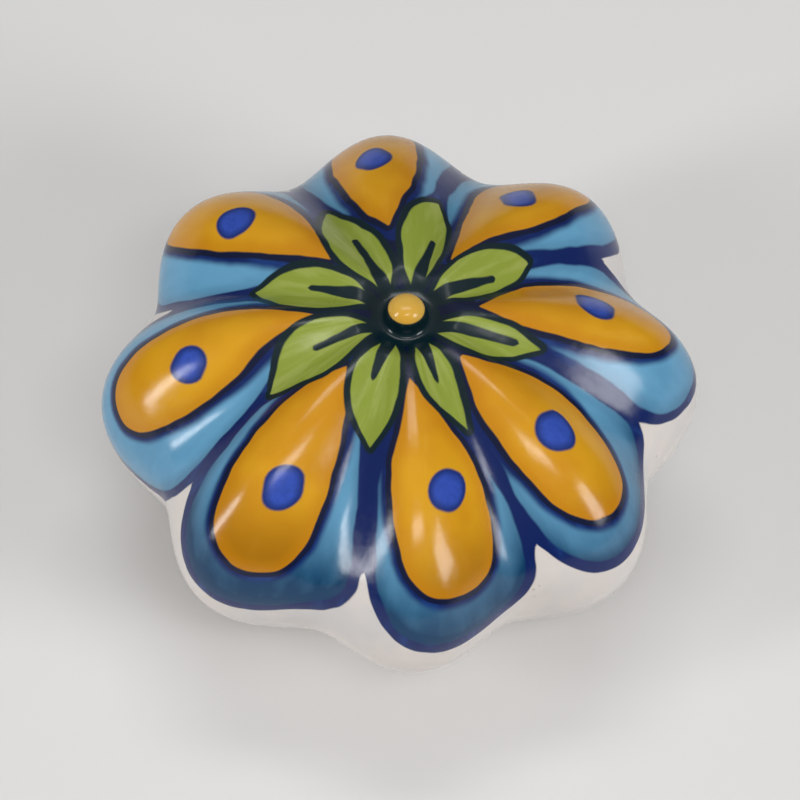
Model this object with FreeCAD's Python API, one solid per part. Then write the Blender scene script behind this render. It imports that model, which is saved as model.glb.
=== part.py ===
import FreeCAD, Part
import math
import os

# Cabinet knob: one lobed ceramic body with a brass threaded insert bonded in its back.
# Millimetres. +Z points out of the painted front, the flat back of the foot lies in z = 0,
# the axis of the knob is the Z axis, and one lobe crest points along +X.

# Head
head_diameter = 42.0
lobe_count = 8
crown_height = 11.1
crown_fullness = 2.28
belly_depth = 14.0
belly_fullness = 2.05
belly_roundness = 1.88

# Grooves between the lobes
groove_depth = 2.65
groove_sink = 1.55
groove_width_power = 0.86
groove_start_radius = 5.2
groove_runout = 5.0

# Hollow ring and nub in the middle of the crown
hollow_floor_radius = 1.75
hollow_lip_radius = 4.2
hollow_depth = 0.95
nub_diameter = 2.8
nub_rise = 1.95
nub_dome_height = 1.1
nub_root_depth = 0.6

# Foot
foot_diameter = 20.0
foot_height = 3.0
foot_edge_round = 0.6
foot_side_height = 1.2
neck_bend = 1.5
back_recess_diameter = 12.0
back_recess_depth = 1.0

# Brass insert
thread_minor_diameter = 3.3
insert_barrel_diameter = 7.0
insert_length = 11.5
insert_flange_diameter = 9.6
insert_flange_thickness = 0.8
insert_groove_count = 2
insert_groove_depth = 0.4
insert_groove_width = 1.4
insert_end_chamfer = 0.5
mouth_chamfer = 0.45
bond_clearance = 0.1
hole_end_clearance = 0.8
hole_cone_depth = 1.2

# How finely the lobed head is drawn
points_per_lobe = 6
belly_ring_count = 7
crown_ring_count = 8
hollow_ring_count = 4

head_radius = head_diameter / 2
foot_radius = foot_diameter / 2
nub_radius = nub_diameter / 2


def belly_drop(radius):
    """Depth of the underside below the widest plane at a radius."""
    return belly_depth * (1 - (radius / head_radius) ** belly_fullness) ** (1 / belly_roundness)


def belly_angle(radius):
    """Angle of the underside curve, 90 degrees at the widest plane, at a radius."""
    return math.asin((radius / head_radius) ** (belly_fullness / 2))


widest_height = foot_height + belly_drop(foot_radius)
groove_ratio = groove_depth / head_radius


def ease(value):
    """Smooth step from 0 to 1."""
    value = min(1.0, max(0.0, value))
    return value * value * (3 - 2 * value)


def crest_share(angle):
    """1 on the crest of a lobe, 0 in the bottom of a groove."""
    wave = (1 + math.cos(lobe_count * angle)) / 2
    return wave ** groove_width_power


def lobe_edge(middle, radius, height, inset, sink):
    """One lobe of a ring, from groove to groove, about the crest at the angle middle."""
    half_span = math.pi / lobe_count
    points = []
    for step in range(points_per_lobe + 1):
        angle = half_span * (2 * step / points_per_lobe - 1)
        groove = 1 - crest_share(angle)
        reach = radius - inset * groove
        level = height - sink * groove
        points.append(FreeCAD.Vector(
            reach * math.cos(middle + angle), reach * math.sin(middle + angle), level
        ))
    start, end = [
        FreeCAD.Vector(-math.sin(middle + side), math.cos(middle + side), 0)
        for side in (-half_span, half_span)
    ]
    curve = Part.BSplineCurve()
    curve.interpolate(Points=points, InitialTangent=start, FinalTangent=end)
    return curve.toShape()


def ring(radius, height, inset=0.0, sink=0.0):
    """Closed lobed curve: in the grooves it is drawn in by inset and down by sink."""
    return Part.Wire([
        lobe_edge(2 * math.pi * turn / lobe_count, radius, height, inset, sink)
        for turn in range(lobe_count)
    ])


def foot_rings():
    """Round rings of the foot, from its flat back up to the bend under the head."""
    corner = foot_edge_round * (1 - math.sqrt(0.5))
    return [
        ring(foot_radius - foot_edge_round, 0),
        ring(foot_radius - corner, corner),
        ring(foot_radius, foot_side_height),
    ]


def belly_rings():
    """Underside: the grooves fade in from the foot to the widest plane."""
    rings = []
    start = belly_angle(foot_radius + neck_bend)
    for step in range(belly_ring_count):
        angle = start + (math.pi / 2 - start) * step / belly_ring_count
        radius = head_radius * math.sin(angle) ** (2 / belly_fullness)
        height = widest_height - belly_depth * math.cos(angle) ** (2 / belly_roundness)
        fade = ease((radius - foot_radius) / groove_runout)
        rings.append(ring(radius, height, groove_ratio * radius * fade))
    return rings


def crown_height_at(radius):
    """Height of a crest above the widest plane, the hollow in the middle included."""
    height = crown_height * math.sqrt(1 - (radius / head_radius) ** crown_fullness)
    if radius < hollow_lip_radius:
        share = (radius - hollow_floor_radius) / (hollow_lip_radius - hollow_floor_radius)
        height -= hollow_depth * (1 - ease(share))
    return height


def crown_rings():
    """Upper side, from the widest plane in to the floor of the hollow."""
    rings = []
    inner = math.asin((hollow_lip_radius / head_radius) ** (crown_fullness / 2))
    for step in range(crown_ring_count + 1):
        angle = math.pi / 2 - (math.pi / 2 - inner) * step / crown_ring_count
        rings.append(crown_ring(head_radius * math.sin(angle) ** (2 / crown_fullness)))
    for step in range(hollow_ring_count):
        share = (step + 1) / hollow_ring_count
        radius = hollow_lip_radius - share * (hollow_lip_radius - hollow_floor_radius)
        rings.append(crown_ring(radius))
    return rings


def crown_ring(radius):
    """One ring of the upper side, its grooves fading out at the hollow."""
    slope_angle = math.asin(min(1.0, (radius / head_radius) ** (crown_fullness / 2)))
    fade = ease((radius - hollow_floor_radius) / (groove_start_radius - hollow_floor_radius))
    inset = groove_ratio * radius * fade
    sink = groove_sink * math.sin(2 * slope_angle) * fade
    return ring(radius, widest_height + crown_height_at(radius), inset, sink)


def nub():
    """Rounded button that stands in the hollow."""
    floor = widest_height + crown_height_at(hollow_floor_radius)
    root = floor - nub_root_depth
    dome_radius = (nub_radius ** 2 + nub_dome_height ** 2) / (2 * nub_dome_height)
    top = floor + nub_rise
    dome = Part.makeSphere(dome_radius, FreeCAD.Vector(0, 0, top - dome_radius))
    stem = Part.makeCylinder(nub_radius, top - nub_dome_height - root, FreeCAD.Vector(0, 0, root))
    cap = dome.common(Part.makeCylinder(
        nub_radius, nub_dome_height, FreeCAD.Vector(0, 0, top - nub_dome_height)
    ))
    return stem.fuse(cap).removeSplitter()


def revolved(corners):
    """Solid of revolution about Z from a closed outline of (radius, height) corners."""
    points = [FreeCAD.Vector(radius, 0, height) for radius, height in corners]
    face = Part.Face(Part.makePolygon(points + points[:1]))
    return face.revolve(FreeCAD.Vector(0, 0, 0), FreeCAD.Vector(0, 0, 1), 360)


# The insert's flange sits on the floor of the recess, just below the flat back
seat_height = back_recess_depth
flange_back = seat_height - insert_flange_thickness
insert_top = seat_height + insert_length


def insert_hole():
    """Recess in the back and blind hole for the insert, with a clearance for the bond."""
    hole_radius = insert_barrel_diameter / 2 + bond_clearance
    hole_top = insert_top + hole_end_clearance
    recess = Part.makeCylinder(back_recess_diameter / 2, seat_height)
    hole = revolved([
        (0, 0),
        (hole_radius, 0),
        (hole_radius, hole_top),
        (0, hole_top + hole_cone_depth),
    ])
    return recess.fuse(hole)


def ceramic_body():
    """Lobed head, foot and nub in one piece, with the hole in its back."""
    rings = foot_rings() + belly_rings() + crown_rings()
    head = Part.makeLoft(rings, True, False)
    return head.fuse(nub()).cut(insert_hole())


def threaded_insert():
    """Flanged brass bush with holding grooves and a through bore."""
    bore_radius = thread_minor_diameter / 2
    barrel_radius = insert_barrel_diameter / 2
    flange_radius = insert_flange_diameter / 2
    bush = revolved([
        (bore_radius + mouth_chamfer, flange_back),
        (flange_radius, flange_back),
        (flange_radius, seat_height),
        (barrel_radius, seat_height),
        (barrel_radius, insert_top - insert_end_chamfer),
        (barrel_radius - insert_end_chamfer, insert_top),
        (bore_radius, insert_top),
        (bore_radius, flange_back + mouth_chamfer),
    ])
    for number in range(insert_groove_count):
        middle = seat_height + insert_length * (number + 1) / (insert_groove_count + 1)
        low = middle - insert_groove_width / 2
        high = middle + insert_groove_width / 2
        bush = bush.cut(revolved([
            (barrel_radius - insert_groove_depth, low),
            (barrel_radius + bond_clearance, low),
            (barrel_radius + bond_clearance, high),
            (barrel_radius - insert_groove_depth, high),
        ]))
    return bush


os.makedirs("parts", exist_ok=True)
ceramic_body().exportStep("parts/ceramic_body.step")
threaded_insert().exportStep("parts/threaded_insert.step")
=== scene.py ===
import math

import bmesh
import bpy
import numpy as np
from mathutils import Matrix, Vector


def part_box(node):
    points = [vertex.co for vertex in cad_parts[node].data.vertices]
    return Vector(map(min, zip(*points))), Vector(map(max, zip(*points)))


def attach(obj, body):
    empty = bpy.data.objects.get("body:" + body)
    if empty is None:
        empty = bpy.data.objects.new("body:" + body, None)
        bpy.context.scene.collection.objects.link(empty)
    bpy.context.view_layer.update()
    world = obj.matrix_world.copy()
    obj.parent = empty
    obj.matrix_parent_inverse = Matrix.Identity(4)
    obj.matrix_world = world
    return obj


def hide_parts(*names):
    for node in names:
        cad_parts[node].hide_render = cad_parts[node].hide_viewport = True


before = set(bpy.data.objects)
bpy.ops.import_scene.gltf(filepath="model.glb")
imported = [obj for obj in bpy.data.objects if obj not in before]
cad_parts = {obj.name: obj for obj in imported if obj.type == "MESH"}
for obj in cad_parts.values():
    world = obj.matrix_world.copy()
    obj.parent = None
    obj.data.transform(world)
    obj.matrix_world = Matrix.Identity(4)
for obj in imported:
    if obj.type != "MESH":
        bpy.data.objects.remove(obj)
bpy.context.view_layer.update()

MM = 0.001

# Sizes of the ceramic body, in millimetres, from the frame's box and the form of the knob
body_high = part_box("ceramic_body")[1]
HEAD_RADIUS = body_high[0] / MM
TOP_HEIGHT = body_high[2] / MM
LOBES = 8
CROWN_HEIGHT = 11.1
CROWN_FULLNESS = 2.28
BELLY_DEPTH = 14.0
BELLY_FULLNESS = 2.05
BELLY_ROUNDNESS = 1.88
GROOVE_DEPTH = 2.65
GROOVE_SINK = 1.55
GROOVE_WIDTH_POWER = 0.86
GROOVE_START_RADIUS = 5.2
GROOVE_RUNOUT = 5.0
HOLLOW_FLOOR_RADIUS = 1.75
HOLLOW_LIP_RADIUS = 4.2
HOLLOW_DEPTH = 0.95
NUB_RADIUS = 1.4
NUB_PAINT_START = 1.15
NUB_PAINT_FULL = 1.3
FOOT_RADIUS = 10.0
FOOT_HEIGHT = 3.0
NECK_STEP = 1.125
RECESS_RADIUS = 6.0
RECESS_DEPTH = 1.0
HOLE_RADIUS = 3.6
HOLE_TOP = 13.3
EDGE = 0.15

# The blind end of the hole: rings as radius, and height above the end of its straight wall
HOLE_END = [(0.6, 1.1), (2.16, 0.48), (3.45, 0.05)]
# The rounded edge of the foot: rings as steps out from its radius, and heights
FOOT_EDGE = [(-1.6, 0.0), (-0.7, 0.0), (-0.25, 0.12), (-0.02, 0.5), (0.0, 1.15), (0.12, 1.9)]
# The nub: its foot as steps out from its radius, its dome as shares of it, both with shares of its height
NUB_FOOT = [(0.34, 0.0), (0.14, 0.06), (0.03, 0.17), (0.0, 0.32)]
NUB_DOME = [(0.97, 0.50), (0.86, 0.72), (0.66, 0.89), (0.40, 0.975), (0.15, 1.0)]
BELLY_RINGS = 11
CROWN_RINGS = 14
HOLLOW_SHARES = (1.0, 0.8, 0.6, 0.42, 0.26, 0.1)
COLUMNS_PER_LOBE = 12
COLUMNS = LOBES * COLUMNS_PER_LOBE
GROOVE_RATIO = GROOVE_DEPTH / HEAD_RADIUS
ROUNDING_LEVELS = 2

# Reach from the axis along a crest, as a curve through the tilt seen from the middle of the head
REACH_SQUARE = 2.296
REACH_CUBE = 0.77


def belly_drop(radius):
    """Depth of the underside below the widest plane."""
    return BELLY_DEPTH * (1 - (radius / HEAD_RADIUS) ** BELLY_FULLNESS) ** (1 / BELLY_ROUNDNESS)


WIDEST_HEIGHT = FOOT_HEIGHT + belly_drop(FOOT_RADIUS)


def ease(value):
    """Smooth step from 0 to 1."""
    value = min(1.0, max(0.0, value))
    return value * value * (3 - 2 * value)


def crown_level(radius):
    """Height of a crest on the upper side, the hollow in the middle included."""
    level = CROWN_HEIGHT * math.sqrt(max(0.0, 1 - (radius / HEAD_RADIUS) ** CROWN_FULLNESS))
    if radius < HOLLOW_LIP_RADIUS:
        share = (radius - HOLLOW_FLOOR_RADIUS) / (HOLLOW_LIP_RADIUS - HOLLOW_FLOOR_RADIUS)
        level -= HOLLOW_DEPTH * (1 - ease(share))
    return WIDEST_HEIGHT + level


HOLLOW_FLOOR = crown_level(HOLLOW_FLOOR_RADIUS)
# The nub's dark foot ends and its amber begins between these heights
NUB_PAINT = (HOLLOW_FLOOR + NUB_PAINT_START, HOLLOW_FLOOR + NUB_PAINT_FULL)


def back_stations():
    """Rings of the back, from the end of the blind hole out to the edge of the foot."""
    steps = [(radius, HOLE_TOP + rise) for radius, rise in HOLE_END]
    steps += [
        (HOLE_RADIUS, HOLE_TOP - EDGE),
        (HOLE_RADIUS, HOLE_TOP / 2),
        (HOLE_RADIUS, RECESS_DEPTH + EDGE),
        (HOLE_RADIUS + EDGE, RECESS_DEPTH),
        (RECESS_RADIUS - EDGE, RECESS_DEPTH),
        (RECESS_RADIUS, RECESS_DEPTH - EDGE),
        (RECESS_RADIUS, EDGE),
        (RECESS_RADIUS + EDGE, 0.0),
    ]
    steps += [(FOOT_RADIUS + out, height) for out, height in FOOT_EDGE]
    return [(radius, height, 0.0, 0.0) for radius, height in steps]


def belly_stations():
    """Rings of the underside: the grooves fade in from the foot to the widest plane."""
    start = math.asin(((FOOT_RADIUS + NECK_STEP) / HEAD_RADIUS) ** (BELLY_FULLNESS / 2))
    rings = []
    for step in range(BELLY_RINGS):
        angle = start + (math.pi / 2 - start) * step / BELLY_RINGS
        radius = HEAD_RADIUS * math.sin(angle) ** (2 / BELLY_FULLNESS)
        height = WIDEST_HEIGHT - BELLY_DEPTH * math.cos(angle) ** (2 / BELLY_ROUNDNESS)
        fade = ease((radius - FOOT_RADIUS) / GROOVE_RUNOUT)
        rings.append((radius, height, GROOVE_RATIO * radius * fade, 0.0))
    return rings


def crown_stations():
    """Rings of the upper side, from the widest plane in to the floor of the hollow."""
    inner = math.asin((HOLLOW_LIP_RADIUS / HEAD_RADIUS) ** (CROWN_FULLNESS / 2))
    radii = []
    for step in range(CROWN_RINGS):
        angle = math.pi / 2 - (math.pi / 2 - inner) * step / CROWN_RINGS
        radii.append(HEAD_RADIUS * math.sin(angle) ** (2 / CROWN_FULLNESS))
    for share in HOLLOW_SHARES:
        radii.append(HOLLOW_FLOOR_RADIUS + share * (HOLLOW_LIP_RADIUS - HOLLOW_FLOOR_RADIUS))
    rings = []
    for radius in radii:
        slope = math.asin(min(1.0, (radius / HEAD_RADIUS) ** (CROWN_FULLNESS / 2)))
        fade = ease((radius - HOLLOW_FLOOR_RADIUS) / (GROOVE_START_RADIUS - HOLLOW_FLOOR_RADIUS))
        sink = GROOVE_SINK * math.sin(2 * slope) * fade
        rings.append((radius, crown_level(radius), GROOVE_RATIO * radius * fade, sink))
    return rings


def nub_stations():
    """Rings of the button in the hollow, from its foot to its top."""
    rise = TOP_HEIGHT - HOLLOW_FLOOR
    steps = [(NUB_RADIUS + out, share) for out, share in NUB_FOOT]
    steps += [(NUB_RADIUS * wide, share) for wide, share in NUB_DOME]
    return [(radius, HOLLOW_FLOOR + share * rise, 0.0, 0.0) for radius, share in steps]


def select_only(mesh, indices):
    """In edit mode, selects these vertices and nothing else."""
    bpy.ops.mesh.select_all(action="DESELECT")
    mesh.verts.ensure_lookup_table()
    for index in indices:
        mesh.verts[index].select = True
    mesh.select_flush(True)


def draw_in_grooves(mesh, first, station):
    """Pulls the vertices of one ring in and down, most in the bottom of each groove."""
    radius, height, inset, sink = station
    if inset == 0.0 and sink == 0.0:
        return
    for step in range(1, COLUMNS_PER_LOBE // 2 + 1):
        wave = (1 + math.cos(2 * math.pi * step / COLUMNS_PER_LOBE)) / 2
        groove = 1 - wave ** GROOVE_WIDTH_POWER
        columns = [
            column for column in range(COLUMNS)
            if column % COLUMNS_PER_LOBE in (step, COLUMNS_PER_LOBE - step)
        ]
        select_only(mesh, [first + column for column in columns])
        share = 1 - inset * groove / radius
        bpy.ops.transform.resize(value=(share, share, 1), center_override=(0, 0, height * MM))
        bpy.ops.transform.translate(value=(0, 0, -sink * groove * MM))


def add_piece(name):
    """Names the object that the last operator made and gives it a mesh of the same name."""
    piece = bpy.context.object
    piece.name = name
    piece.data.name = name
    return piece


def turn_rings(name, stations, fill):
    """A round skin, extruded ring by ring through (radius, height) stations. Stays in edit mode.

    The circle is turned so that its first point lies on the crest at +X.
    """
    bpy.ops.object.select_all(action="DESELECT")
    radius, height = stations[0]
    bpy.ops.mesh.primitive_circle_add(
        vertices=COLUMNS, radius=radius * MM, location=(0, 0, height * MM), fill_type=fill,
        rotation=(0, 0, -math.pi / 2),
    )
    piece = add_piece(name)
    bpy.ops.object.transform_apply(location=True, rotation=True, scale=True)
    bpy.ops.object.mode_set(mode="EDIT")
    bpy.ops.mesh.select_mode(type="VERT")
    mesh = bmesh.from_edit_mesh(piece.data)
    for number, (next_radius, next_height) in enumerate(stations[1:], start=1):
        select_only(mesh, range((number - 1) * COLUMNS, number * COLUMNS))
        bpy.ops.mesh.extrude_edges_move(
            TRANSFORM_OT_translate={"value": (0, 0, (next_height - height) * MM)}
        )
        share = next_radius / radius
        bpy.ops.transform.resize(value=(share, share, 1), center_override=(0, 0, next_height * MM))
        radius, height = next_radius, next_height
    return piece, mesh


def finish_skin():
    """Turns all faces of the piece in edit mode outwards and leaves edit mode."""
    bpy.ops.mesh.select_all(action="SELECT")
    bpy.ops.mesh.normals_make_consistent(inside=False)
    bpy.ops.object.mode_set(mode="OBJECT")


def fit_width(piece):
    """Rounding draws the skin in a little: it is widened again to the head's radius."""
    reach = max(vertex.co.x for vertex in piece.data.vertices)
    share = HEAD_RADIUS * MM / reach
    bpy.ops.object.mode_set(mode="EDIT")
    bpy.ops.mesh.select_all(action="SELECT")
    bpy.ops.transform.resize(value=(share, share, 1), center_override=(0, 0, 0))
    bpy.ops.object.mode_set(mode="OBJECT")


def make_body():
    """The glazed body as one closed skin, from the end of the hole to the top of the nub."""
    stations = back_stations() + belly_stations() + crown_stations() + nub_stations()
    piece, mesh = turn_rings("glazed_body", [station[:2] for station in stations], "NGON")
    for number, station in enumerate(stations):
        draw_in_grooves(mesh, number * COLUMNS, station)
    select_only(mesh, range((len(stations) - 1) * COLUMNS, len(stations) * COLUMNS))
    bpy.ops.mesh.edge_face_add()
    finish_skin()
    smooth = piece.modifiers.new("Round", "SUBSURF")
    smooth.levels = ROUNDING_LEVELS
    smooth.render_levels = ROUNDING_LEVELS
    bpy.ops.object.modifier_apply(modifier=smooth.name)
    fit_width(piece)
    bpy.ops.object.shade_smooth()
    return piece


# Sizes of the brass insert, in millimetres: M4 thread in a flanged bush
insert_low, insert_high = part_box("threaded_insert")
FLANGE_BACK = insert_low[2] / MM
INSERT_TOP = insert_high[2] / MM
FLANGE_RADIUS = insert_high[0] / MM
BARREL_RADIUS = 3.5
BARREL_GROOVE_RADIUS = 3.1
BARREL_GROOVE_WIDTH = 1.4
BARREL_GROOVES = 2
BARREL_END_CHAMFER = 0.5
KNURL_DEPTH = 0.15
MOUTH_CHAMFER = 0.25
THREAD_ROOT_RADIUS = 2.0
THREAD_CREST_RADIUS = 1.65
THREAD_PITCH = 0.7
THREAD_STEPS = 32
# The ridge of the thread: how deep its root sits in the wall, how far in it starts, how wide its root is
# as a share of the pitch, and its crest as a share of its root
RIDGE_SEAT = 0.06
RIDGE_START = 0.3
RIDGE_ROOT = 0.92
RIDGE_CREST = 0.27
SHARP_ANGLE = 35


def make_bush():
    """The turned bush: bore, flange, and a knurled barrel with holding grooves."""
    barrel = [(BARREL_RADIUS, RECESS_DEPTH)]
    length = INSERT_TOP - RECESS_DEPTH
    for number in range(BARREL_GROOVES):
        middle = RECESS_DEPTH + length * (number + 1) / (BARREL_GROOVES + 1)
        low = middle - BARREL_GROOVE_WIDTH / 2
        high = middle + BARREL_GROOVE_WIDTH / 2
        barrel += [(BARREL_RADIUS, low), (BARREL_GROOVE_RADIUS, low)]
        barrel += [(BARREL_GROOVE_RADIUS, high), (BARREL_RADIUS, high)]
    barrel += [(BARREL_RADIUS, INSERT_TOP - BARREL_END_CHAMFER)]
    stations = [
        (THREAD_ROOT_RADIUS, INSERT_TOP - EDGE),
        (THREAD_ROOT_RADIUS, FLANGE_BACK + MOUTH_CHAMFER),
        (THREAD_ROOT_RADIUS + MOUTH_CHAMFER, FLANGE_BACK),
        (FLANGE_RADIUS - EDGE, FLANGE_BACK),
        (FLANGE_RADIUS, FLANGE_BACK + EDGE),
        (FLANGE_RADIUS, RECESS_DEPTH),
    ] + barrel + [
        (BARREL_RADIUS - BARREL_END_CHAMFER, INSERT_TOP),
        (THREAD_ROOT_RADIUS + EDGE, INSERT_TOP),
    ]
    piece, mesh = turn_rings("brass_insert", stations, "NOTHING")
    last = (len(stations) - 1) * COLUMNS
    select_only(mesh, list(range(COLUMNS)) + list(range(last, last + COLUMNS)))
    bpy.ops.mesh.bridge_edge_loops()
    mesh = bmesh.from_edit_mesh(piece.data)
    for number, (radius, height) in enumerate(stations):
        if radius == BARREL_RADIUS:
            first = number * COLUMNS
            select_only(mesh, range(first, first + COLUMNS, 2))
            share = 1 - KNURL_DEPTH / BARREL_RADIUS
            bpy.ops.transform.resize(value=(share, share, 1), center_override=(0, 0, height * MM))
    finish_skin()
    return piece


def make_thread():
    """The ridge of the thread, one wedge wound up the bore and closed at both ends."""
    turns = int((INSERT_TOP - FLANGE_BACK) / THREAD_PITCH) - 1
    base = THREAD_ROOT_RADIUS + RIDGE_SEAT
    depth = base - THREAD_CREST_RADIUS
    start = FLANGE_BACK + RIDGE_START + THREAD_PITCH / 2
    bpy.ops.object.select_all(action="DESELECT")
    bpy.ops.mesh.primitive_plane_add(
        size=1.0, location=(0, 0, 0), rotation=(math.pi / 2, 0, 0),
    )
    piece = add_piece("thread_ridge")
    bpy.ops.object.transform_apply(location=True, rotation=True, scale=True)
    bpy.ops.object.mode_set(mode="EDIT")
    mesh = bmesh.from_edit_mesh(piece.data)
    bpy.ops.mesh.select_all(action="SELECT")
    bpy.ops.transform.resize(value=(depth * MM, 1, THREAD_PITCH * RIDGE_ROOT * MM))
    mesh.verts.ensure_lookup_table()
    select_only(mesh, [vertex.index for vertex in mesh.verts if vertex.co.x < 0])
    bpy.ops.transform.resize(value=(1, 1, RIDGE_CREST))
    bpy.ops.mesh.select_all(action="SELECT")
    bpy.ops.transform.translate(value=((base - depth / 2) * MM, 0, start * MM))
    bpy.ops.mesh.delete(type="ONLY_FACE")
    bpy.ops.object.mode_set(mode="OBJECT")
    wind = piece.modifiers.new("Wind", "SCREW")
    wind.axis = "Z"
    wind.angle = 2 * math.pi
    wind.screw_offset = THREAD_PITCH * MM
    wind.iterations = turns
    wind.steps = THREAD_STEPS
    wind.render_steps = THREAD_STEPS
    bpy.ops.object.modifier_apply(modifier=wind.name)
    bpy.ops.object.mode_set(mode="EDIT")
    bpy.ops.mesh.select_all(action="SELECT")
    bpy.ops.mesh.fill_holes(sides=4)
    finish_skin()
    return piece


def make_insert():
    """The bush and its thread as one piece."""
    bush = make_bush()
    thread = make_thread()
    bpy.ops.object.select_all(action="DESELECT")
    thread.select_set(True)
    bush.select_set(True)
    bpy.context.view_layer.objects.active = bush
    bpy.ops.object.join()
    bpy.ops.object.shade_smooth_by_angle(angle=math.radians(SHARP_ANGLE))
    return bush


body = make_body()
insert = make_insert()

# Materials


def tint(red, green, blue):
    """A colour written as 0 to 255 on screen, as the linear values that a node takes."""
    def linear(value):
        value = value / 255
        return value / 12.92 if value <= 0.04045 else ((value + 0.055) / 1.055) ** 2.4
    return (linear(red), linear(green), linear(blue), 1.0)


WHITE_GLAZE = tint(221, 213, 207)
WHITE_THICK = tint(208, 206, 206)
GLAZE_SPECK = tint(150, 132, 112)
GLAZE_END = tint(196, 176, 150)
TURQUOISE_LIGHT = tint(102, 162, 198)
TURQUOISE_DEEP = tint(0, 58, 96)
COBALT = tint(8, 32, 92)
COBALT_THIN = tint(30, 70, 138)
NAVY = tint(10, 20, 52)
AMBER = tint(218, 158, 22)
AMBER_DEEP = tint(196, 127, 8)
# Painted shade at the tips of the near petals
AMBER_SHADED_TIP = tint(164, 108, 6)
AMBER_PALE = tint(226, 174, 60)
NUB_YELLOW = tint(214, 172, 78)
DOT_BLUE = tint(50, 80, 178)
LEAF_GREEN = tint(140, 156, 58)
LEAF_PALE = tint(164, 174, 92)
LEAF_LINE = tint(8, 32, 38)
BISQUE = tint(206, 190, 168)
BRASS_BRIGHT = tint(208, 170, 98)
BRASS_DULL = tint(184, 144, 78)


class Graph:
    """Adds nodes to one tree and joins them."""

    def __init__(self, tree):
        self.tree = tree

    def put(self, socket, value):
        """Joins a socket to another, or sets its own value."""
        if isinstance(value, bpy.types.NodeSocket):
            self.tree.links.new(value, socket)
        else:
            socket.default_value = value

    def node(self, kind, inputs=(), **settings):
        """Adds one node. Its inputs go by name or number, its settings by name."""
        node = self.tree.nodes.new(kind)
        for name, value in settings.items():
            setattr(node, name, value)
        for name, value in dict(inputs).items():
            self.put(node.inputs[name], value)
        return node

    def math(self, operation, *values, clamp=False):
        """One step of arithmetic on numbers."""
        node = self.node("ShaderNodeMath", operation=operation, use_clamp=clamp)
        for socket, value in zip(node.inputs, values):
            self.put(socket, value)
        return node.outputs[0]

    def vector(self, operation, *values, scale=1.0):
        """One step of arithmetic on vectors. A length comes out as a number."""
        node = self.node("ShaderNodeVectorMath", operation=operation)
        for socket, value in zip(node.inputs, values):
            self.put(socket, value)
        if operation == "SCALE":
            self.put(node.inputs["Scale"], scale)
        return node.outputs["Value" if operation == "LENGTH" else "Vector"]

    def split(self, vector):
        """The three parts of a vector."""
        return self.node("ShaderNodeSeparateXYZ", {0: vector}).outputs

    def join(self, x=0.0, y=0.0, z=0.0):
        """A vector of three parts."""
        return self.node("ShaderNodeCombineXYZ", {0: x, 1: y, 2: z}).outputs[0]

    def ramp(self, value, low, high, start=0.0, end=1.0, smooth=True):
        """Value mapped from low..high to start..end."""
        node = self.node(
            "ShaderNodeMapRange", {0: value, 1: low, 2: high, 3: start, 4: end},
            interpolation_type="SMOOTHSTEP" if smooth else "LINEAR",
        )
        return node.outputs[0]

    def blend(self, share, under, over):
        """Colour under, covered by colour over as share goes to 1."""
        node = self.node("ShaderNodeMix", data_type="RGBA", blend_type="MIX")
        self.put(node.inputs[0], share)
        self.put(node.inputs[6], under)
        self.put(node.inputs[7], over)
        return node.outputs[2]

    def noise(self, vector, scale, detail, roughness):
        """Noise from 0 to 1 at a place."""
        node = self.node(
            "ShaderNodeTexNoise",
            {"Vector": vector, "Scale": scale, "Detail": detail, "Roughness": roughness},
        )
        return node.outputs[0]

    def bump(self, height, strength, depth):
        """The normal of a surface that a height of 1 raises by a depth in millimetres."""
        node = self.node("ShaderNodeBump", {"Strength": strength, "Distance": depth * MM, "Height": height})
        return node.outputs[0]

    def group(self, tree, **inputs):
        """The outputs of a node group that is given these inputs."""
        node = self.node("ShaderNodeGroup", node_tree=tree)
        for name, value in inputs.items():
            self.put(node.inputs[name], value)
        return node.outputs


def new_material(name):
    """A material and its graph, still empty."""
    material = bpy.data.materials.new(name)
    material.use_nodes = True
    material.node_tree.nodes.clear()
    return material, Graph(material.node_tree)


def surface(graph, colour, rough, normal):
    """The shader of a finish, joined to the material's output."""
    shader = graph.node("ShaderNodeBsdfPrincipled", {
        "Base Color": colour, "Roughness": rough, "Normal": normal,
    })
    graph.node("ShaderNodeOutputMaterial", {"Surface": shader.outputs[0]})
    return shader


KINDS = {"vector": "NodeSocketVector", "value": "NodeSocketFloat"}


def new_group(name, inputs, outputs):
    """An empty node group with named inputs and outputs."""
    tree = bpy.data.node_groups.new(name, "ShaderNodeTree")
    for label, kind in inputs:
        tree.interface.new_socket(label, in_out="INPUT", socket_type=KINDS[kind])
    for label, kind in outputs:
        tree.interface.new_socket(label, in_out="OUTPUT", socket_type=KINDS[kind])
    graph = Graph(tree)
    given = graph.node("NodeGroupInput").outputs
    result = graph.node("NodeGroupOutput").inputs
    return graph, given, result


PATCH_NOISE = (3.0, 0.6)
PATCH_EDGE = (0.3, 0.75)


def make_patches():
    """Soft patches that both materials use: a value that wanders between Low and High."""
    inputs = [("Place", "vector"), ("Scale", "value"), ("Low", "value"), ("High", "value")]
    graph, given, result = new_group("soft patches", inputs, [("Value", "value")])
    patches = graph.noise(given["Place"], given["Scale"], *PATCH_NOISE)
    graph.put(result["Value"], graph.ramp(patches, *PATCH_EDGE, given["Low"], given["High"]))
    return graph.tree


PATCHES = make_patches()

# Half the width of the soft edge that paint has under the glaze, in millimetres
SOFT_EDGE = 0.07


def inside(graph, distance, limit=0.0, soft=SOFT_EDGE):
    """1 where a distance is below a limit, with the soft edge of paint under glaze."""
    offset = graph.math("SUBTRACT", distance, limit)
    return graph.ramp(offset, soft, -soft)


def cover(graph, under, over, distance, limit=0.0, soft=SOFT_EDGE):
    """Colour under, painted over where a distance is below a limit."""
    return graph.blend(inside(graph, distance, limit, soft), under, over)


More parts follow.
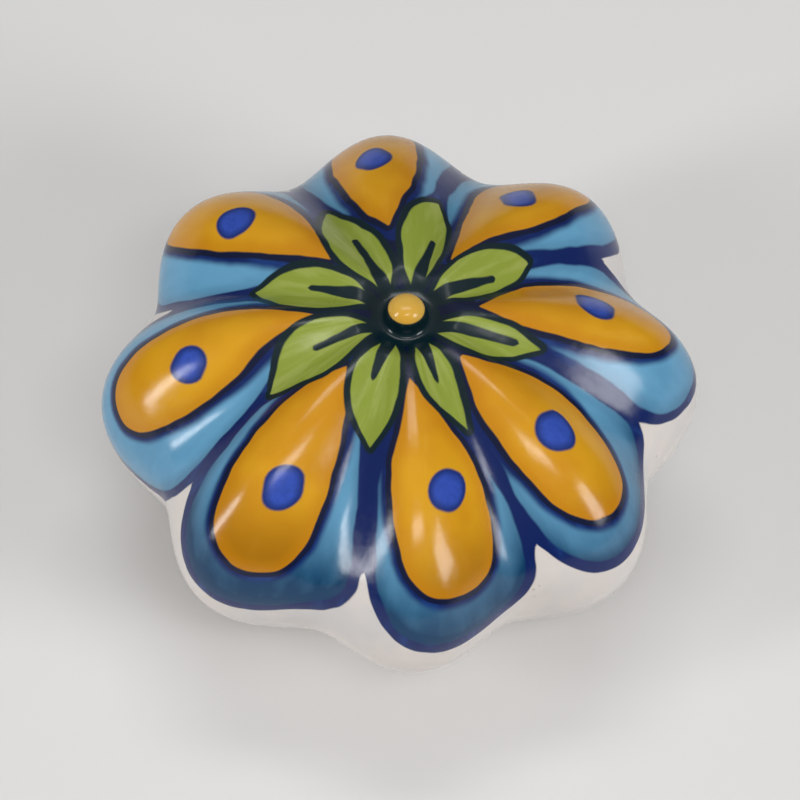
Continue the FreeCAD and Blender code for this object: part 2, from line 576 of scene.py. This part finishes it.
# The flower as it is painted, on the skin laid flat around the axis: x and y in millimetres.
# Each outline starts at its inner end and runs once round. A leaf ends in a point.
AMBER_PETALS = {
    "far": [(-0.75, 8.1), (-2.2, 10.3), (-3.6, 13.7), (-4.7, 18.0), (-4.3, 21.6), (-1.6, 23.4),
            (1.4, 21.8), (2.1, 17.5), (1.4, 13.2), (0.2, 10.4)],
    "far left": [(-5.2, 5.0), (-9.0, 6.6), (-13.2, 8.8), (-16.7, 11.4), (-18.8, 14.6), (-17.6, 17.6),
                 (-14.4, 18.2), (-10.6, 15.6), (-7.7, 11.8), (-6.2, 8.0)],
    "left": [(-6.6, 0.1), (-10.2, -1.3), (-13.6, -3.4), (-17.8, -5.0), (-21.6, -5.1), (-23.0, -3.2),
             (-21.5, 0.0), (-18.2, 1.7), (-13.8, 2.4), (-10.4, 1.5)],
    "near left": [(-4.6, -4.4), (-8.2, -5.6), (-12.0, -8.8), (-14.6, -13.4), (-14.2, -17.0),
                  (-11.4, -19.0), (-8.8, -17.2), (-6.5, -12.5), (-5.1, -8.0)],
    "near": [(-0.1, -5.6), (-0.9, -9.0), (-1.8, -12.5), (-1.6, -16.5), (-0.3, -19.8), (2.6, -21.2),
             (5.9, -20.5), (6.4, -17.8), (5.3, -13.5), (3.0, -9.8)],
    "near right": [(3.6, -3.7), (5.0, -7.9), (7.1, -11.1), (10.2, -14.3), (13.4, -14.7), (15.9, -12.4),
                   (15.7, -9.4), (13.2, -6.4), (9.5, -4.7), (6.0, -4.2)],
    "right": [(5.3, 0.4), (8.2, -0.9), (12.0, -1.5), (16.0, -1.7), (18.9, -0.6), (20.6, 2.2),
              (19.2, 4.9), (16.0, 5.4), (12.6, 4.7), (9.2, 3.2)],
    "far right": [(3.6, 4.6), (5.9, 6.4), (9.8, 8.4), (13.2, 11.4), (15.5, 15.0), (14.6, 18.3),
                  (11.5, 18.9), (8.0, 16.6), (6.0, 11.8), (4.6, 7.5)],
}
TURQUOISE_PETALS = {
    "far": [(-0.5, 7.0), (-5.6, 13.4), (-6.9, 16.0), (-8.1, 19.0), (-8.9, 22.2), (-7.6, 25.2),
            (-3.8, 27.0), (0.6, 27.0), (4.2, 25.4), (6.2, 22.0), (5.3, 18.5), (4.1, 15.5), (3.2, 12.8)],
    "far left": [(-5.5, 5.0), (-9.0, 4.6), (-12.2, 5.0), (-15.4, 5.6), (-18.8, 6.7), (-22.0, 9.0),
                 (-23.8, 13.0), (-23.2, 17.0), (-20.6, 20.0), (-16.6, 21.6), (-12.2, 20.7),
                 (-9.0, 18.0), (-7.5, 15.0), (-6.5, 12.0)],
    "left": [(-6.0, -0.3), (-9.0, -2.6), (-11.8, -5.2), (-14.7, -7.9), (-17.6, -10.0), (-21.0, -10.8),
             (-24.5, -10.3), (-27.3, -8.4), (-28.6, -5.0), (-28.0, -1.0), (-25.6, 3.0),
             (-21.5, 5.1), (-17.5, 5.1), (-13.8, 4.4), (-10.2, 3.0)],
    "near left": [(-4.0, -4.0), (-7.0, -4.4), (-11.7, -5.8), (-14.9, -8.6), (-17.4, -11.4),
                  (-18.6, -15.0), (-18.0, -18.8), (-15.3, -21.9), (-11.6, -23.4), (-8.2, -23.2),
                  (-5.6, -21.1), (-4.6, -17.3), (-4.0, -12.0), (-3.9, -7.5)],
    "near": [(0.0, -5.5), (-1.9, -9.5), (-3.2, -13.5), (-3.6, -17.5), (-3.5, -21.0), (-1.8, -24.0),
             (1.5, -25.5), (5.4, -25.5), (8.9, -24.3), (10.1, -21.6), (9.5, -18.6), (7.9, -15.0),
             (5.8, -11.5), (3.4, -8.5)],
    "near right": [(3.5, -3.5), (4.4, -8.2), (6.1, -12.2), (8.3, -15.4), (10.8, -17.9), (13.8, -18.6),
                   (16.4, -17.3), (18.6, -14.5), (20.5, -11.6), (20.9, -8.8), (19.3, -6.5),
                   (16.0, -5.1), (12.6, -3.8), (9.5, -3.0)],
    "right": [(4.5, 0.3), (9.0, -2.0), (12.5, -3.3), (16.0, -4.6), (19.8, -5.7), (22.1, -5.0),
              (23.6, -2.2), (24.0, 1.8), (23.0, 5.6), (20.8, 8.3), (17.6, 9.0), (14.6, 8.2),
              (11.4, 6.6), (7.5, 4.1)],
    "far right": [(3.8, 4.5), (4.0, 12.8), (4.7, 15.5), (6.0, 18.5), (8.2, 21.2), (11.8, 22.4),
                  (15.8, 21.2), (18.6, 18.4), (19.6, 15.0), (18.7, 11.8), (16.0, 9.45), (12.7, 7.45),
                  (9.4, 6.0), (6.0, 4.8)],
}
# How much the outer end of each petal is darkened, in the order of the list above: mostly painted shade,
# strongest on the near petals, with some real deepening of the turquoise wash
WASH_AND_SHADE_LOAD = [0.30, 0.10, 0.15, 1.00, 0.90, 0.75, 0.25, 0.20]
# A leaf as its outline round to the point, the way back, and the far end of its vein
LEAVES = {
    "far left": ([(-1.2, 2.0), (-4.3, 4.6), (-5.7, 8.0), (-6.1, 11.0), (-5.8, 13.2)],
                 [(-4.0, 11.2), (-1.95, 8.0), (-0.8, 4.6)], (-3.6, 8.4)),
    "left, upper": ([(-2.1, 1.3), (-5.2, 0.85), (-8.6, 1.6), (-10.9, 3.2), (-12.3, 4.8)],
                    [(-9.8, 5.4), (-6.9, 5.0), (-4.1, 3.4)], (-7.5, 3.7)),
    "left, lower": ([(-2.0, -0.7), (-3.7, -2.6), (-6.2, -4.4), (-9.2, -5.3), (-11.4, -5.5)],
                    [(-10.5, -3.2), (-8.4, -1.0), (-5.4, -0.1)], (-7.3, -2.3)),
    "near left": ([(-1.2, -1.7), (-3.7, -4.0), (-4.6, -7.0), (-4.4, -9.3), (-3.5, -11.1)],
                  [(-2.15, -9.4), (-1.0, -6.8), (-0.75, -3.8)], (-2.9, -5.5)),
    "near right": ([(0.9, -1.8), (0.45, -4.2), (1.2, -6.8), (2.9, -8.6), (4.5, -9.9)],
                   [(4.1, -7.9), (3.4, -5.4), (2.3, -3.2)], (2.1, -5.9)),
    "right, lower": ([(1.9, -0.9), (3.2, -2.6), (5.6, -3.5), (8.2, -3.4), (10.5, -2.6)],
                     [(8.0, -1.3), (5.4, -0.55), (3.2, -0.45)], (8.6, -2.3)),
    "right, upper": ([(1.9, 1.4), (4.6, 1.5), (7.2, 2.6), (9.4, 4.4), (10.3, 6.0)],
                     [(8.2, 6.1), (5.2, 5.2), (3.0, 3.4)], (7.2, 3.8)),
    "far right": ([(0.8, 2.1), (0.1, 4.6), (0.3, 8.0), (1.5, 10.6), (3.6, 12.7)],
                  [(4.0, 9.8), (3.4, 6.6), (2.1, 3.8)], (2.7, 7.6)),
}
# A dot as its two round ends, which lie close together, and their radius
DOTS = [
    ((-1.05, 15.7), (-1.6, 16.5), 1.15), ((-11.5, 10.6), (-12.1, 10.6), 1.3),
    ((-15.75, -1.4), (-16.3, -1.95), 1.1), ((-9.6, -12.3), (-9.85, -13.15), 1.25),
    ((2.15, -13.95), (2.7, -14.2), 1.35), ((10.1, -9.2), (10.7, -9.0), 1.38),
    ((14.3, 1.65), (14.75, 2.5), 1.25), ((9.35, 11.5), (9.45, 13.0), 1.05),
]
VEIN_START_RADIUS = 0.62
VEIN_END_RADIUS = 0.2
CURVE_STEPS = 8


def smooth_run(points, first, last):
    """A smooth curve through these points, which comes from first and heads for last."""
    chain = np.array([first] + list(points) + [last], float)
    share = np.linspace(0, 1, CURVE_STEPS, endpoint=False)[:, None]
    run = []
    for before, start, end, after in zip(chain, chain[1:], chain[2:], chain[3:]):
        leave = (end - before) / 2
        arrive = (after - start) / 2
        run.append(
            (2 * share ** 3 - 3 * share ** 2 + 1) * start + (share ** 3 - 2 * share ** 2 + share) * leave
            + (3 * share ** 2 - 2 * share ** 3) * end + (share ** 3 - share ** 2) * arrive
        )
    return np.vstack(run)


def petal_outline(points):
    """A closed curve with a corner at its inner end."""
    return smooth_run(points + points[:1], points[0], points[0])


def leaf_outline(leaf):
    """A closed curve with a corner at its inner end and at its point."""
    out, back = leaf[0], leaf[1]
    rising = smooth_run(out, out[0], out[-1])
    falling = smooth_run([out[-1]] + back + [out[0]], out[-1], out[0])
    return np.vstack([rising, falling])


def depth_inside(points, outline):
    """Distance of each point from a closed outline in millimetres, negative inside it."""
    nearest = np.full(len(points), 1e9)
    crossings = np.zeros(len(points), int)
    x, y = points[:, 0], points[:, 1]
    for start, end in zip(outline, np.roll(outline, -1, axis=0)):
        run = end - start
        length = run @ run
        if length < 1e-12:
            continue
        share = np.clip(((x - start[0]) * run[0] + (y - start[1]) * run[1]) / length, 0, 1)
        gap = np.hypot(x - start[0] - share * run[0], y - start[1] - share * run[1])
        nearest = np.minimum(nearest, gap)
        if start[1] != end[1]:
            level = (y >= min(start[1], end[1])) & (y < max(start[1], end[1]))
            meets = start[0] + (y - start[1]) / run[1] * run[0] if run[1] else x
            crossings += level & (x < meets)
    return np.where(crossings % 2 == 1, -nearest, nearest)


def brush_distance(points, start, end, start_radius, end_radius):
    """Distance of each point from a brush stroke with two round ends."""
    start, end = np.array(start, float), np.array(end, float)
    run = end - start
    share = np.clip(((points - start) @ run) / (run @ run), 0, 1)
    gap = np.hypot(*(points - start - share[:, None] * run).T)
    return gap - (start_radius + share * (end_radius - start_radius))


def lay_flat(points):
    """Where each point of the skin lies on the flat sheet of the pattern."""
    radius = np.hypot(points[:, 0], points[:, 1])
    tilt = np.arctan2(radius, points[:, 2] - WIDEST_HEIGHT)
    reach = ((REACH_CUBE * tilt + REACH_SQUARE) * tilt + CROWN_HEIGHT) * tilt
    return points[:, :2] * (reach / np.maximum(radius, 1e-6))[:, None]


def store(piece, name, values):
    """Keeps one number for each vertex of the piece, for its paint to read."""
    layer = piece.data.attributes.new(name, "FLOAT", "POINT")
    layer.data.foreach_set("value", np.asarray(values, np.float32))


def draw_flower(piece):
    """Lays the outlines of the painted flower over the skin, as distances from their edges."""
    places = np.empty(len(piece.data.vertices) * 3, np.float32)
    piece.data.vertices.foreach_get("co", places)
    flat = lay_flat(places.reshape(-1, 3).astype(float) / MM)
    amber = [depth_inside(flat, petal_outline(points)) for points in AMBER_PETALS.values()]
    turquoise = [depth_inside(flat, petal_outline(points)) for points in TURQUOISE_PETALS.values()]
    leaves = [depth_inside(flat, leaf_outline(leaf)) for leaf in LEAVES.values()]
    veins = [
        brush_distance(flat, leaf[0][0], leaf[2], VEIN_START_RADIUS, VEIN_END_RADIUS)
        for leaf in LEAVES.values()
    ]
    dots = [brush_distance(flat, start, end, size, size) for start, end, size in DOTS]
    store(piece, "amber", np.min(amber, axis=0))
    store(piece, "turquoise", np.min(turquoise, axis=0))
    store(piece, "cobalt_line", np.min(np.abs(turquoise), axis=0))
    # Per petal, how far its outer end is darkened, mostly as painted shade
    store(piece, "load", np.array(WASH_AND_SHADE_LOAD)[np.argmin(turquoise, axis=0)])
    store(piece, "leaf", np.min(leaves, axis=0))
    store(piece, "vein", np.min(veins, axis=0))
    store(piece, "dot", np.min(dots, axis=0))


# Noises over the skin: scale per millimetre, detail and roughness
STREAK_NOISE = (1.3, 3.0, 0.55)
CLOUD_NOISE = (0.22, 2.0, 0.5)
GRAIN_NOISE = (2.2, 3.0, 0.6)
SHAKE_NOISE = (0.45, 1.0, 0.5)
WIDTH_NOISE = (0.25, 2.0, 0.5)
SPECK_NOISE = (1.9, 1.0, 0.5)
RIPPLE_NOISE = (0.35, 1.0, 0.5)
FINE_RIPPLE_NOISE = (1.5, 1.0, 0.5)
# The span of a noise that is stretched over the whole range of what it shifts
NOISE_SPAN = (0.3, 0.7)
# Streaks: how finely they divide the way round, and how slowly they change outwards
STREAK_ACROSS = 9.0
STREAK_ALONG = 0.16

# Ramps of the paint: the two ends of what it goes by, and how much there is at each.
# Turquoise is thicker at its rim and runs in streaks; it deepens at the outer ends, partly as a thicker
# wash and partly as painted shade, most on the near petals.
TURQUOISE_RIM = (-1.8, -0.3, 0.0, 0.30)
TURQUOISE_END_AND_SHADE = (16.0, 24.5, 0.1, 1.0)
TURQUOISE_STREAK = (0.3, 0.75, -0.07, 0.08)
# Amber is cloudy and pale in its streaks, and deeper by the leaves and at its rim; its outer ends are
# darkened with painted shade, most on the near petals
AMBER_CLOUD = (0.35, 0.7, 0.0, 0.5)
AMBER_STREAK = (0.55, 0.8, 0.0, 0.35)
AMBER_ROOT = (13.0, 8.0, 0.0, 0.35)
AMBER_END_SHADE = (15.5, 21.5, 0.0, 0.9)
AMBER_RIM = (-1.3, -0.1, 0.0, 0.6)
COBALT_STREAK = (0.5, 0.72, 0.0, 0.5)
LEAF_STREAK = (0.42, 0.68, 0.0, 0.55)
DOT_GRAIN = (0.4, 0.7, 0.0, 0.2)
DOT_RIM = (-0.7, 0.0, 0.0, 0.85)
NUB_CLOUD = (0.4, 0.65, 0.0, 0.6)
# White is greyer in clouds, lightly specked, and thin where the glaze ends above the foot's flat
WHITE_CLOUD = (0.42, 0.68, 0.0, 0.7)
WHITE_SPECK = (0.76, 0.82, 0.0, 0.5)
WHITE_END = (0.9, 0.3, 0.0, 0.6)

# Lines of the brush in millimetres: how far each line's width wanders, and its width
COBALT_LINE = (0.08, 0.47)
NAVY_LINE = (0.07, 0.45)
LEAF_EDGE_LINE = (0.06, 0.48)
HAND_SHAKE = 0.08
DOT_SHAKE = 0.35
# Cobalt fills the grooves up to the outer ends, and shows past the navy line as a soft fringe
GROOVE_FILL = (18.0, 21.5, 0.6, 0.0)
FRINGE = (9.0, 18.0, 0.6, 0.4)
COBALT_SOFT = 0.13
FRINGE_SOFT = 0.32
DOT_SOFT = 0.11
# Dark grounds round the axis: reach of the navy under the petals and under the leaves,
# then radius of the green-black under and over the leaves, and of the side of the nub
PETAL_GROUND_REACH = 7.2
LEAF_GROUND_REACH = 5.4
HOLLOW_GROUND_RADIUS = 2.4
HOLLOW_RING_RADIUS = 1.9
NUB_SIDE_RADIUS = 1.6

# Finish: bare clay below this height, gloss of the glaze, and the duller lip of the hollow
BARE_HEIGHT = (0.35, 0.15)
GLOSS_PATCHES = {"Scale": 2.2, "Low": 0.16, "High": 0.23}
LIP_START = (2.4, 3.2)
LIP_END = (6.0, 4.4)
LIP_DULLNESS = 0.16
BARE_DULLNESS = 0.6
FINE_RIPPLE = 0.2
RIPPLE_STRENGTH = 0.3
RIPPLE_HEIGHT = 0.1
GLAZE_IOR = 1.44


class Skin:
    """What the paint goes by: place, reach from the axis, streaks, clouds and the drawn outlines."""

    def __init__(self, graph):
        self.graph = graph
        place = graph.node("ShaderNodeTexCoord").outputs["Object"]
        self.place = graph.vector("SCALE", place, scale=1 / MM)
        x, y, self.height = graph.split(self.place)
        self.radius = graph.vector("LENGTH", graph.join(x, y))
        self.reach = self.flat_reach()
        self.streak = self.brush_streak(graph.math("ARCTAN2", y, x))
        self.cloud = graph.noise(self.place, *CLOUD_NOISE)
        shake = graph.noise(self.place, *SHAKE_NOISE)
        self.shake = graph.ramp(shake, *NOISE_SPAN, -HAND_SHAKE, HAND_SHAKE, smooth=False)
        # How far the outer end of the petal here is darkened, mostly as painted shade
        self.load = self.stored("load")
        self.turquoise_edge = self.drawn("turquoise")
        self.amber_edge = self.drawn("amber")
        self.dot_edge = self.drawn("dot", DOT_SHAKE)
        self.leaf_edge = self.drawn("leaf")

    def flat_reach(self):
        """How far from the axis a point lies on the flat sheet of the pattern, as in lay_flat."""
        graph = self.graph
        level = graph.math("SUBTRACT", self.height, WIDEST_HEIGHT)
        tilt = graph.math("ARCTAN2", self.radius, level)
        reach = graph.math("MULTIPLY_ADD", tilt, REACH_CUBE, REACH_SQUARE)
        reach = graph.math("MULTIPLY_ADD", reach, tilt, CROWN_HEIGHT)
        return graph.math("MULTIPLY", reach, tilt)

    def brush_streak(self, angle):
        """Streaks that run outwards: noise that is long in reach and short across."""
        graph = self.graph
        across = graph.join(graph.math("COSINE", angle), graph.math("SINE", angle), 0.0)
        across = graph.vector("SCALE", across, scale=STREAK_ACROSS)
        along = graph.join(0.0, 0.0, graph.math("MULTIPLY", self.reach, STREAK_ALONG))
        return graph.noise(graph.vector("ADD", across, along), *STREAK_NOISE)

    def stored(self, name):
        """The number that the skin keeps under this name."""
        return self.graph.node("ShaderNodeAttribute", attribute_name=name).outputs["Fac"]

    def drawn(self, name, share=1.0):
        """The distance from one kind of outline, with a share of the slight shake of the hand."""
        return self.graph.math("MULTIPLY_ADD", self.shake, share, self.stored(name))


def turquoise_paint(graph, skin):
    """Turquoise wash, from light to deep as it lies thicker, and deeper at the outer ends with painted
    shade, most on the near petals.
    """
    # Painted shade, partly a thicker wash: the outer end of each petal deepens by its own amount
    end = graph.math("MULTIPLY", skin.load, graph.ramp(skin.reach, *TURQUOISE_END_AND_SHADE))
    wash = graph.math("ADD", graph.ramp(skin.turquoise_edge, *TURQUOISE_RIM), end)
    wash = graph.math("ADD", wash, graph.ramp(skin.streak, *TURQUOISE_STREAK), clamp=True)
    return graph.blend(wash, TURQUOISE_LIGHT, TURQUOISE_DEEP)


def amber_paint(graph, skin):
    """Amber of the petals, with painted shade darkening the tips, most on the near petals."""
    paint = graph.blend(graph.ramp(skin.cloud, *AMBER_CLOUD), AMBER, AMBER_DEEP)
    paint = graph.blend(graph.ramp(skin.streak, *AMBER_STREAK), paint, AMBER_PALE)
    paint = graph.blend(graph.ramp(skin.reach, *AMBER_ROOT), paint, AMBER_DEEP)
    # Painted shade: the tips darken by each petal's own amount, most on the near petals
    tip_shade = graph.math("MULTIPLY", skin.load, graph.ramp(skin.reach, *AMBER_END_SHADE))
    paint = graph.blend(tip_shade, paint, AMBER_SHADED_TIP)
    return graph.blend(graph.ramp(skin.amber_edge, *AMBER_RIM), paint, AMBER_DEEP)


def dot_paint(graph, skin):
    """Blue of the dots, a little grainy and darker at the rim."""
    grain = graph.noise(skin.place, *GRAIN_NOISE)
    paint = graph.blend(graph.ramp(grain, *DOT_GRAIN), DOT_BLUE, COBALT)
    return graph.blend(graph.ramp(skin.dot_edge, *DOT_RIM), paint, COBALT)


def white_glaze(graph, skin):
    """White ground of the sides and the back."""
    paint = graph.blend(graph.ramp(skin.cloud, *WHITE_CLOUD), WHITE_GLAZE, WHITE_THICK)
    speck = graph.noise(skin.place, *SPECK_NOISE)
    paint = graph.blend(graph.ramp(speck, *WHITE_SPECK), paint, GLAZE_SPECK)
    return graph.blend(graph.ramp(skin.height, *WHITE_END), paint, GLAZE_END)


def petal_layers(graph, skin, wander):
    """White ground, then cobalt, turquoise, amber and dots, each over the one before."""
    cobalt = graph.blend(graph.ramp(skin.streak, *COBALT_STREAK), COBALT, COBALT_THIN)
    cobalt_width = graph.math("MULTIPLY_ADD", wander, *COBALT_LINE)
    groove_width = graph.math("ADD", cobalt_width, graph.ramp(skin.reach, *GROOVE_FILL))
    navy_width = graph.math("MULTIPLY_ADD", wander, *NAVY_LINE)
    fringe_width = graph.math("ADD", navy_width, graph.ramp(skin.reach, *FRINGE))

    colour = cover(graph, white_glaze(graph, skin), cobalt, skin.turquoise_edge, groove_width)
    colour = cover(graph, colour, NAVY, skin.reach, PETAL_GROUND_REACH)
    colour = cover(graph, colour, turquoise_paint(graph, skin), skin.turquoise_edge)
    colour = cover(graph, colour, cobalt, skin.drawn("cobalt_line"), cobalt_width, COBALT_SOFT)
    colour = cover(graph, colour, cobalt, skin.amber_edge, fringe_width, FRINGE_SOFT)
    colour = cover(graph, colour, NAVY, skin.amber_edge, navy_width)
    colour = cover(graph, colour, amber_paint(graph, skin), skin.amber_edge)
    return cover(graph, colour, dot_paint(graph, skin), skin.dot_edge, soft=DOT_SOFT)


def leaf_layers(graph, skin, wander, colour):
    """Dark ground, leaves and veins round the hollow, and the amber top of the nub."""
    green = graph.blend(graph.ramp(skin.streak, *LEAF_STREAK), LEAF_GREEN, LEAF_PALE)
    leaf_width = graph.math("MULTIPLY_ADD", wander, *LEAF_EDGE_LINE)
    nub = graph.blend(graph.ramp(skin.cloud, *NUB_CLOUD), NUB_YELLOW, AMBER)

    colour = cover(graph, colour, NAVY, skin.reach, LEAF_GROUND_REACH)
    colour = cover(graph, colour, LEAF_LINE, skin.leaf_edge, leaf_width)
    colour = cover(graph, colour, LEAF_LINE, skin.radius, HOLLOW_GROUND_RADIUS)
    colour = cover(graph, colour, green, skin.leaf_edge)
    colour = cover(graph, colour, LEAF_LINE, skin.drawn("vein"))
    colour = cover(graph, colour, LEAF_LINE, skin.radius, HOLLOW_RING_RADIUS)
    on_nub = inside(graph, skin.radius, NUB_SIDE_RADIUS)
    on_nub = graph.math("MULTIPLY", on_nub, graph.ramp(skin.height, *NUB_PAINT))
    return graph.blend(on_nub, colour, nub)


def glaze_roughness(graph, skin, bare):
    """Gloss in soft patches, duller on the lip of the hollow, and matt where the clay is bare."""
    gloss = graph.group(PATCHES, Place=skin.place, **GLOSS_PATCHES)["Value"]
    lip = graph.math("MULTIPLY", graph.ramp(skin.radius, *LIP_START), graph.ramp(skin.radius, *LIP_END))
    gloss = graph.math("MULTIPLY_ADD", lip, LIP_DULLNESS, gloss)
    return graph.math("MULTIPLY_ADD", bare, BARE_DULLNESS, gloss)


def glaze_ripple(graph, skin):
    """The slight unevenness of the glaze, in two sizes."""
    ripple = graph.noise(skin.place, *RIPPLE_NOISE)
    fine = graph.noise(skin.place, *FINE_RIPPLE_NOISE)
    ripple = graph.math("MULTIPLY_ADD", fine, FINE_RIPPLE, ripple)
    return graph.bump(ripple, RIPPLE_STRENGTH, RIPPLE_HEIGHT)


def painted_glaze():
    """Hand-painted flower under a clear glaze, bare fired clay on the flat of the foot."""
    material, graph = new_material("painted glaze")
    skin = Skin(graph)
    wander = graph.noise(skin.place, *WIDTH_NOISE)
    wander = graph.ramp(wander, *NOISE_SPAN, -1.0, 1.0, smooth=False)
    colour = petal_layers(graph, skin, wander)
    colour = leaf_layers(graph, skin, wander, colour)
    bare = graph.ramp(skin.height, *BARE_HEIGHT)
    colour = graph.blend(bare, colour, BISQUE)
    shader = surface(graph, colour, glaze_roughness(graph, skin, bare), glaze_ripple(graph, skin))
    shader.inputs["IOR"].default_value = GLAZE_IOR
    return material


# Turned brass: soft patches of dull film, and fine rings from the lathe
FILM_PATCHES = {"Scale": 0.6, "Low": 0.0, "High": 1.0}
RING_NOISE = (9.0, 2.0, 0.5)
RING_ROUGHNESS = (0.3, 0.7, 0.22, 0.42)
RING_STRENGTH = 0.2
RING_HEIGHT = 0.05


def brass():
    """Turned brass with fine rings and a dull film."""
    material, graph = new_material("turned brass")
    place = graph.vector("SCALE", graph.node("ShaderNodeTexCoord").outputs["Object"], scale=1 / MM)
    film = graph.group(PATCHES, Place=place, **FILM_PATCHES)["Value"]
    x, y, z = graph.split(place)
    rings = graph.noise(graph.join(graph.vector("LENGTH", graph.join(x, y)), z), *RING_NOISE)
    colour = graph.blend(film, BRASS_BRIGHT, BRASS_DULL)
    rough = graph.ramp(rings, *RING_ROUGHNESS)
    shader = surface(graph, colour, rough, graph.bump(rings, RING_STRENGTH, RING_HEIGHT))
    shader.inputs["Metallic"].default_value = 1.0
    return material


draw_flower(body)
body.data.materials.append(painted_glaze())
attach(body, "root")
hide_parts("ceramic_body")

insert.data.materials.append(brass())
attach(insert, "root")
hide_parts("threaded_insert")


# Floor, light and camera

FLOOR_SIZE = 4.0
FLOOR_COLOUR = tint(226, 225, 224)
FLOOR_ROUGHNESS = 0.7


def make_floor():
    """A wide plain floor under the knob."""
    bpy.ops.object.select_all(action="DESELECT")
    bpy.ops.mesh.primitive_plane_add(size=FLOOR_SIZE, location=(0, 0, 0))
    floor = add_piece("floor")
    material = bpy.data.materials.new("pale floor")
    material.use_nodes = True
    shader = material.node_tree.nodes["Principled BSDF"]
    shader.inputs["Base Color"].default_value = FLOOR_COLOUR
    shader.inputs["Roughness"].default_value = FLOOR_ROUGHNESS
    floor.data.materials.append(material)


# Soft panels round the knob: degrees from +X, degrees up, width and height in metres, and watts
LAMP_DISTANCE = 0.6
LAMPS = {
    "left panel": (-160, 23, 0.09, 0.35, 1.40),
    "right panel": (-34, 28, 0.20, 0.26, 1.45),
    "front panel": (-84, 60, 0.24, 0.08, 0.60),
    "top panel": (90, 79, 0.32, 0.13, 0.65),
}
# Strength of the sky, level with the knob and overhead
SKY_SIDE = 0.10
SKY_TOP = 0.37


def panel_light(name, turn, rise, size, power):
    """A rectangular lamp that stands upright and faces the knob."""
    light = bpy.data.lights.new(name, "AREA")
    light.shape = "RECTANGLE"
    light.size, light.size_y = size
    light.energy = power
    lamp = bpy.data.objects.new(name, light)
    bpy.context.collection.objects.link(lamp)
    turn, rise = math.radians(turn), math.radians(rise)
    away = Vector((math.cos(rise) * math.cos(turn), math.cos(rise) * math.sin(turn), math.sin(rise)))
    lamp.location = away * LAMP_DISTANCE + Vector((0, 0, WIDEST_HEIGHT * MM))
    lamp.rotation_euler = (-away).to_track_quat("-Z", "Y").to_euler()


def make_world():
    """A soft white sky, brightest overhead."""
    world = bpy.data.worlds.new("studio")
    bpy.context.scene.world = world
    world.use_nodes = True
    graph = Graph(world.node_tree)
    up = graph.split(graph.node("ShaderNodeTexCoord").outputs["Generated"])["Z"]
    shade = world.node_tree.nodes["Background"]
    graph.put(shade.inputs["Strength"], graph.ramp(up, 0.0, 1.0, SKY_SIDE, SKY_TOP))
    shade.inputs["Color"].default_value = (1, 1, 1, 1)


# The camera, where the photograph was taken from: angles in degrees, lengths in millimetres
CAMERA_RISE = 57.3
CAMERA_TURN = 6.9
CAMERA_ROLL = -4.0
CAMERA_DISTANCE = 450.0
CAMERA_DROP = 0.3
PIXELS_PER_MM = 14.2
IMAGE_WIDTH = 800
SENSOR_WIDTH = 36.0
CLIP_START = 0.01


def make_camera():
    """The camera, turned and rolled as the photograph's was."""
    data = bpy.data.cameras.new("camera")
    camera = bpy.data.objects.new("camera", data)
    bpy.context.collection.objects.link(camera)
    rise = math.radians(CAMERA_RISE)
    turn = math.radians(CAMERA_TURN)
    back = Vector((-math.cos(rise) * math.sin(turn), -math.cos(rise) * math.cos(turn), math.sin(rise)))
    target = Vector((0, 0, (WIDEST_HEIGHT - CAMERA_DROP) * MM))
    look = (-back).to_track_quat("-Z", "Y")
    roll = Matrix.Rotation(math.radians(-CAMERA_ROLL), 3, "Z")
    camera.rotation_euler = (look.to_matrix() @ roll).to_euler()
    camera.location = target + back * CAMERA_DISTANCE * MM
    data.sensor_width = SENSOR_WIDTH
    data.lens = PIXELS_PER_MM * CAMERA_DISTANCE * SENSOR_WIDTH / IMAGE_WIDTH
    data.clip_start = CLIP_START
    bpy.context.scene.camera = camera


make_floor()
make_world()
for lamp_name, (turn, rise, width, height, power) in LAMPS.items():
    panel_light(lamp_name, turn, rise, (width, height), power)
make_camera()
bpy.context.scene.view_settings.view_transform = "Standard"
